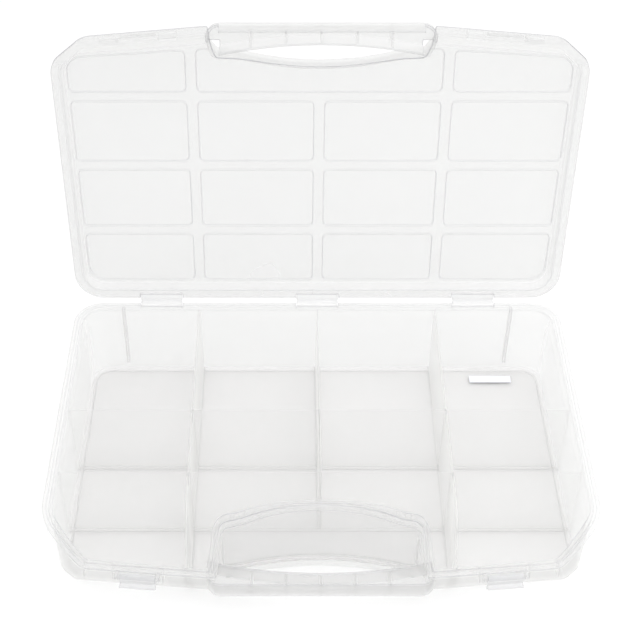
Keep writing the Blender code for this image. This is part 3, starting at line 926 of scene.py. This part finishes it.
def side_inner_x(y):
    """Distance from the middle at which a cross wall ends, just inside the side wall's skin."""
    side_span = REAR_Y - CHAMFER_SIDE_Y
    return HALF_WIDTH - WALL + SIDE_LAP + FRONT_FLARE * (REAR_Y - y) / side_span


def dividers(material):
    """The two cross walls and the walls between them and the tray's front and rear."""
    edge = DIVIDER_TOP / 2 - CROSS_LAP
    for name, y in (("cross_divider_rear", REAR_CROSS_Y), ("cross_divider_front", FRONT_CROSS_Y)):
        half = side_inner_x(y)
        give(divider(name + "_visual", True, y, -half, half), material, "base", DIVIDER_SLOT, name)
    rear = REAR_Y - WALL + REAR_LAP
    for name, x in (("left", -COLUMN_X), ("centre", 0.0), ("right", COLUMN_X)):
        spans = [
            ("divider_rear_", rear, REAR_CROSS_Y + edge),
            ("divider_middle_", REAR_CROSS_Y - edge, FRONT_CROSS_Y + edge),
        ]
        if x:
            front = front_line_y(x) + WALL - FRONT_LAP
            spans.append(("divider_front_", FRONT_CROSS_Y - edge, front))
        for start_of_name, start, end in spans:
            plate = divider(start_of_name + name + "_visual", False, x, start, end)
            give(plate, material, "base", DIVIDER_SLOT, start_of_name + name)


def softened(node_name, width):
    """Copy of a small CAD solid with its sharp edges rounded."""
    source = frame["nodes"][node_name]
    bm = bmesh.new()
    bm.from_mesh(source.data)
    bmesh.ops.transform(bm, matrix=Matrix.Scale(1 / MM, 4), verts=bm.verts)
    bmesh.ops.remove_doubles(bm, verts=bm.verts, dist=CAD_WELD)
    flat = math.radians(FLAT_ANGLE)
    bmesh.ops.dissolve_limit(bm, angle_limit=flat, verts=bm.verts, edges=bm.edges)
    least = math.radians(BEVEL_ANGLE)
    sharp = [e for e in bm.edges if len(e.link_faces) == 2 and e.calc_face_angle() > least]
    bmesh.ops.bevel(bm, geom=sharp, offset=width, segments=3, profile=0.5, affect="EDGES",
                    clamp_overlap=True)
    return mesh_object(node_name + "_visual", bm)


def hinge_film(name, x):
    """Thin flexible strip between the two rims, bowed round the hinge line."""
    bm = bmesh.new()
    half = STRAP_HALF - FILM_INSET
    start = Vector((HINGE.y - FILM_BACK, HINGE.z - FILM_DROP))
    middle = Vector((HINGE.y, HINGE.z))
    end_offset = Vector((start.x - HINGE.y, 2 * FILM_DROP + start.y - HINGE.z))
    end = middle + Matrix.Rotation(-LID_OPEN, 2) @ end_offset
    sections = []
    for side in range(9):
        across = x - half + 2 * half * side / 8
        upper, lower = [], []
        for step in range(13):
            t = step / 12
            spot = start * (1 - t) ** 2 + middle * 2 * t * (1 - t) + end * t ** 2
            way = ((middle - start) * (1 - t) + (end - middle) * t).normalized()
            thickness = FILM_HALF_THICKNESS + FILM_SWELLING * abs(2 * t - 1)
            normal = Vector((-way.y, way.x)) * thickness
            upper.append((across, *(spot + normal)))
            lower.append((across, *(spot - normal)))
        sections.append(upper + lower[::-1])
    add_loops(bm, sections, closed_ends=True)
    film = mesh_object(f"hinge_film_{name}", bm)
    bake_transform(film)
    return film


# ---------------------------------------------------------------- materials

EDGE_REACH = 0.0007
EDGE_SHADE_RANGE = (0.97, 0.55)
EDGE_SAMPLES = 4
EDGE_POWER = 4.0
GRAZING_THROUGH = 0.3
SHADOW_TONE = 0.95
CLOUD_SCALE = 14.0
CLOUD_DARKEST = 0.96
GRAIN_SCALE = 900.0
ROUGHNESS = (0.34, 0.48)
BUMP_STRENGTH = 0.1
BUMP_DEPTH = 0.0002
PLASTIC_IOR = 1.49

# Plastics: colour, painted edge shade (grey laid along sharp edges in place of the dark
# surroundings refracted there), share that is clear face on, tone of the clear part and how
# strongly the painted edge shade shows.
EDGE_SHADE_GREY = (0.42, 0.42, 0.44)
PLASTICS = {
    "frosted_plastic_tray": ((0.87, 0.87, 0.865), EDGE_SHADE_GREY, 0.76, 0.972, 0.7),
    # The floor's plastic is a darker copy of the tray's: painted shade for the shadowed ground under the
    # tray.
    "frosted_plastic_floor_painted_shade": ((0.83, 0.825, 0.82), EDGE_SHADE_GREY, 0.7, 0.961, 0.8),
    # The lid's plastic is a darker copy of the tray's: painted shade that tones down the stronger light
    # falling on the lid.
    "frosted_plastic_lid_painted_shade": ((0.82, 0.82, 0.815), EDGE_SHADE_GREY, 0.72, 0.95, 0.9),
    "frosted_plastic_webs": ((0.86, 0.86, 0.855), EDGE_SHADE_GREY, 0.86, 0.98, 0.15),
    "frosted_plastic_solid": ((0.93, 0.93, 0.93), EDGE_SHADE_GREY, 0.35, 0.99, 0.2),
    "divider_plastic_detail": ((0.89, 0.89, 0.88), (0.5, 0.5, 0.5), 0.9, 0.997, 0.4),
    "hinge_plastic_detail": ((0.92, 0.92, 0.92), EDGE_SHADE_GREY, 0.5, 0.98, 0.3),
    "latch_plastic_detail": ((0.84, 0.84, 0.85), EDGE_SHADE_GREY, 0.62, 0.97, 0.3),
}

# Sticker.
FIBRE_SCALE = 1400.0
FIBRE_BUMP = 0.2
FIBRE_DEPTH = 0.0001
PAPER_ROUGHNESS = 0.75
FIBRE_TONES = ((0.74, 0.75, 0.82, 1.0), (0.82, 0.83, 0.88, 1.0))


def node(tree, kind, **inputs):
    """Add a shader node and set or link its inputs.

    Spaces in names are written as _, and i0, i1 and so on stand for an input's number.
    """
    made = tree.nodes.new(kind)
    for name, value in inputs.items():
        numbered = name[0] == "i" and name[1:].isdigit()
        socket = made.inputs[int(name[1:]) if numbered else name.replace("_", " ")]
        if isinstance(value, bpy.types.NodeSocket):
            tree.links.new(value, socket)
        else:
            socket.default_value = value
    return made


def painted_edge_shade_mask(tree, edge_shade_strength):
    """Mask of painted edge shade: 1 along sharp outer edges and thin tips, where a grey is painted in
    place of the dark surroundings refracted there, 0 on open faces.
    """
    near = tree.nodes.new("ShaderNodeAmbientOcclusion")
    near.inside = True
    near.only_local = True
    near.samples = EDGE_SAMPLES
    near.inputs["Distance"].default_value = EDGE_REACH
    mask = node(tree, "ShaderNodeMapRange", Value=near.outputs["AO"])
    mask.inputs["From Min"].default_value = EDGE_SHADE_RANGE[0]
    mask.inputs["From Max"].default_value = EDGE_SHADE_RANGE[1]
    mask.inputs["To Max"].default_value = edge_shade_strength
    return mask.outputs["Result"]


def milky_body(tree):
    """The plastic's scattering part and its colour ramp: satin gloss, faint clouds, fine grain."""
    place = node(tree, "ShaderNodeTexCoord").outputs["Object"]
    cloud = node(tree, "ShaderNodeTexNoise", Vector=place, Scale=CLOUD_SCALE, Detail=3.0).outputs["Fac"]
    grain = node(tree, "ShaderNodeTexNoise", Vector=place, Scale=GRAIN_SCALE, Detail=2.0).outputs["Fac"]
    ramp = node(tree, "ShaderNodeValToRGB", Fac=cloud)
    tint = ramp.outputs["Color"]
    gloss = node(tree, "ShaderNodeMapRange", Value=grain)
    gloss.inputs["To Min"].default_value = ROUGHNESS[0]
    gloss.inputs["To Max"].default_value = ROUGHNESS[1]
    bump = node(tree, "ShaderNodeBump", Strength=BUMP_STRENGTH, Distance=BUMP_DEPTH, Height=cloud)
    bump = bump.outputs["Normal"]
    milky = node(tree, "ShaderNodeBsdfPrincipled", Base_Color=tint, Roughness=gloss.outputs["Result"],
                 IOR=PLASTIC_IOR, Normal=bump).outputs["BSDF"]
    glow = node(tree, "ShaderNodeBsdfTranslucent", Color=tint, Normal=bump).outputs["BSDF"]
    body = node(tree, "ShaderNodeMixShader", Fac=0.5, i1=milky, i2=glow).outputs["Shader"]
    return body, ramp.color_ramp


def frosted(name):
    """Frosted polypropylene: clear face on, milkier at a slant, with painted edge shade (grey in place of
    refracted dark surroundings) along sharp edges.
    """
    color, painted_edge_shade_color, see_through, clear_tone, edge_shade_strength = PLASTICS[name]
    material = bpy.data.materials.new(name)
    material.use_nodes = True
    tree = material.node_tree
    tree.nodes.clear()
    body, ramp = milky_body(tree)
    ramp.elements[0].color = (*[c * CLOUD_DARKEST for c in color], 1.0)
    ramp.elements[1].color = (*color, 1.0)
    clear = node(tree, "ShaderNodeBsdfTransparent", Color=(*[clear_tone] * 3, 1.0)).outputs["BSDF"]
    grazing = node(tree, "ShaderNodeLayerWeight", Blend=0.5).outputs["Facing"]
    sharp = node(tree, "ShaderNodeMath", i0=grazing, i1=EDGE_POWER)
    sharp.operation = "POWER"
    share = node(tree, "ShaderNodeMapRange", Value=sharp.outputs["Value"])
    share.inputs["To Min"].default_value = see_through
    share.inputs["To Max"].default_value = see_through * GRAZING_THROUGH
    sheet = node(tree, "ShaderNodeMixShader", Fac=share.outputs["Result"], i1=body, i2=clear)
    # Painted edge shade: a flat grey diffuse mixed in along sharp edges, standing in for the dark
    # surroundings refracted there.
    edge = node(tree, "ShaderNodeBsdfDiffuse", Color=(*painted_edge_shade_color, 1.0))
    seen = node(tree, "ShaderNodeMixShader", Fac=painted_edge_shade_mask(tree, edge_shade_strength), i1=sheet.outputs["Shader"],
                i2=edge.outputs["BSDF"])
    shadow = node(tree, "ShaderNodeLightPath").outputs["Is Shadow Ray"]
    passing = node(tree, "ShaderNodeBsdfTransparent", Color=(*[SHADOW_TONE] * 3, 1.0))
    mixed = node(tree, "ShaderNodeMixShader", Fac=shadow, i1=seen.outputs["Shader"],
                 i2=passing.outputs["BSDF"])
    node(tree, "ShaderNodeOutputMaterial", Surface=mixed.outputs["Shader"])
    return material


def paper():
    """Blank white sticker with a faint fibre."""
    material = bpy.data.materials.new("label_paper_detail")
    material.use_nodes = True
    tree = material.node_tree
    shader = tree.nodes["Principled BSDF"]
    place = node(tree, "ShaderNodeTexCoord").outputs["Object"]
    fibre = node(tree, "ShaderNodeTexNoise", Vector=place, Scale=FIBRE_SCALE, Detail=3.0).outputs["Fac"]
    ramp = node(tree, "ShaderNodeValToRGB", Fac=fibre)
    for element, tone in zip(ramp.color_ramp.elements, FIBRE_TONES):
        element.color = tone
    tree.links.new(ramp.outputs["Color"], shader.inputs["Base Color"])
    bump = node(tree, "ShaderNodeBump", Strength=FIBRE_BUMP, Distance=FIBRE_DEPTH, Height=fibre)
    tree.links.new(bump.outputs["Normal"], shader.inputs["Normal"])
    shader.inputs["Roughness"].default_value = PAPER_ROUGHNESS
    return material


def give(obj, material, body, slot, *nodes):
    """Dress a new piece, hang it on its body and hide the CAD nodes it stands for."""
    obj.data.materials.clear()
    obj.data.materials.append(material)
    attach(obj, body)
    if nodes:
        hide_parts(*nodes)
    return obj


# ---------------------------------------------------------------- camera, light and ground

CAMERA_PLACE = (-0.0186, -0.611, 0.738)
CAMERA_PITCH = 46.3
CAMERA_LENS = 79.5
CAMERA_SENSOR = 36.0
CAMERA_SHIFT_X = 0.0412
CLEAR_SURFACES = 64
SKY_STRENGTH = 1.05
# Each light: place, the point it faces, size and power.
LIGHTS = {
    "key": ((0.7, -0.3, 1.2), (0.0, 0.0, 0.05), 1.0, 4.0),
    "top": ((0.15, 0.0, 1.5), (0.0, 0.0, 0.0), 1.0, 6.0),
}
GROUND_HALF = 4000.0
GROUND_Z = -0.0001
GROUND_COLOR = (0.8, 0.8, 0.8, 1.0)
GROUND_ROUGHNESS = 0.9
GROUND_GLOSS = 0.1


def camera():
    data = bpy.data.cameras.new("camera")
    data.sensor_width = CAMERA_SENSOR
    data.lens = CAMERA_LENS
    data.shift_x = CAMERA_SHIFT_X
    data.clip_start = 0.01
    obj = bpy.data.objects.new("camera", data)
    obj.location = CAMERA_PLACE
    obj.rotation_euler = (math.radians(CAMERA_PITCH), 0.0, 0.0)
    bpy.context.scene.collection.objects.link(obj)
    bpy.context.scene.camera = obj


def area_light(name, place, target, size, power):
    data = bpy.data.lights.new(name, "AREA")
    data.size = size
    data.energy = power
    obj = bpy.data.objects.new(name, data)
    obj.location = place
    obj.rotation_euler = (Vector(target) - Vector(place)).to_track_quat("-Z", "Y").to_euler()
    bpy.context.scene.collection.objects.link(obj)


def studio():
    """White surroundings, two soft lights and a plain pale ground."""
    scene = bpy.context.scene
    scene.view_settings.view_transform = "Standard"
    scene.cycles.transparent_max_bounces = CLEAR_SURFACES
    world = bpy.data.worlds.new("studio")
    world.use_nodes = True
    world.node_tree.nodes["Background"].inputs["Color"].default_value = (1.0, 1.0, 1.0, 1.0)
    world.node_tree.nodes["Background"].inputs["Strength"].default_value = SKY_STRENGTH
    scene.world = world
    for name, (place, target, size, power) in LIGHTS.items():
        area_light(name, place, target, size, power)
    bm = bmesh.new()
    bmesh.ops.create_grid(bm, x_segments=1, y_segments=1, size=GROUND_HALF)
    floor = mesh_object("floor", bm)
    floor.location.z = GROUND_Z
    ground = bpy.data.materials.new("paper_ground")
    ground.use_nodes = True
    shader = ground.node_tree.nodes["Principled BSDF"]
    shader.inputs["Base Color"].default_value = GROUND_COLOR
    shader.inputs["Roughness"].default_value = GROUND_ROUGHNESS
    shader.inputs["Specular IOR Level"].default_value = GROUND_GLOSS
    floor.data.materials.append(ground)


def dress_tray(looks):
    """The tray, its grip and the mouldings on it."""
    # The lid's plastic, which the tray's grip wears too, is a darker copy of the tray's: painted shade
    # that tones down the light falling on the lid.
    shell, shaded_lid_look = looks["frosted_plastic_tray"], looks["frosted_plastic_lid_painted_shade"]
    web, plate = looks["frosted_plastic_webs"], looks["divider_plastic_detail"]
    tray = give(tray_shell(), shell, "base", CASE_SLOT, "base_tray")
    # Faces low on the tray take the darker floor plastic: painted shade for the shadowed ground under the
    # floor.
    tray.data.materials.append(looks["frosted_plastic_floor_painted_shade"])
    for face in tray.data.polygons:
        face.material_index = 1 if face.center.z < SHADED_FLOOR_HEIGHT * MM else 0
    pieces = (
        (tray_grip(), shaded_lid_look),
        (grip_webs("tray_grip_webs", GRIP_PART_Z, -GRIP_HEIGHT), web),
        (grip_nibs("tray_grip_nibs", GRIP_PART_Z, -GRIP_HEIGHT), plate),
        (recess_details(), web),
        (floor_bead(), plate),
        (front_ribs(), plate),
        (latch_lugs(), shell),
        (foot_ribs(), shell),
    )
    for piece, look in pieces:
        give(piece, look, "base", CASE_SLOT, "base_tray")


def dress_lid(looks):
    """The lid, its grip and the ears beside the latches."""
    mouth_z = GRIP_PART_Z + PARTING_GAP
    pieces = (
        # The lid wears a darker copy of the tray's plastic: painted shade for the stronger light on the
        # lid.
        (lid_shell(), "frosted_plastic_lid_painted_shade"),
        (lid_grip(), "frosted_plastic_lid_painted_shade"),
        (open_lid(grip_webs("lid_grip_webs", mouth_z, LID_GRIP_HEIGHT)), "frosted_plastic_webs"),
        (open_lid(grip_nibs("lid_grip_nibs", mouth_z, LID_GRIP_HEIGHT)), "divider_plastic_detail"),
        (lid_ears(), "frosted_plastic_solid"),
    )
    for piece, look in pieces:
        give(piece, looks[look], "lid", CASE_SLOT, "lid_shell")


def dress_hinges(look):
    """The hinge leaves and the flexible film between each pair of them."""
    for name, x in STRAPS.items():
        for body in ("base", "lid"):
            leaf = f"hinge_leaf_{body}_{name}"
            give(softened(leaf, LEAF_ROUNDING), look, body, HINGE_SLOT, leaf)
        film = hinge_film(name, x)
        film.data.materials.append(look)


def dress_latches(flap_look, pin_look):
    """The two latch flaps and the pins they turn on."""
    for name in ("left", "right"):
        flap, pin = f"latch_flap_{name}", f"latch_pin_{name}"
        give(softened(flap, FLAP_ROUNDING), flap_look, f"latch_{name}", HINGE_SLOT, flap)
        give(softened(pin, PIN_ROUNDING), pin_look, "base", CASE_SLOT, pin)


def build():
    camera()
    studio()
    looks = {name: frosted(name) for name in PLASTICS}
    dress_tray(looks)
    dress_lid(looks)
    dividers(looks["divider_plastic_detail"])
    dress_hinges(looks["hinge_plastic_detail"])
    dress_latches(looks["latch_plastic_detail"], looks["frosted_plastic_tray"])
    label = frame["nodes"]["floor_label"]
    label.data.materials.clear()
    label.data.materials.append(paper())


build()
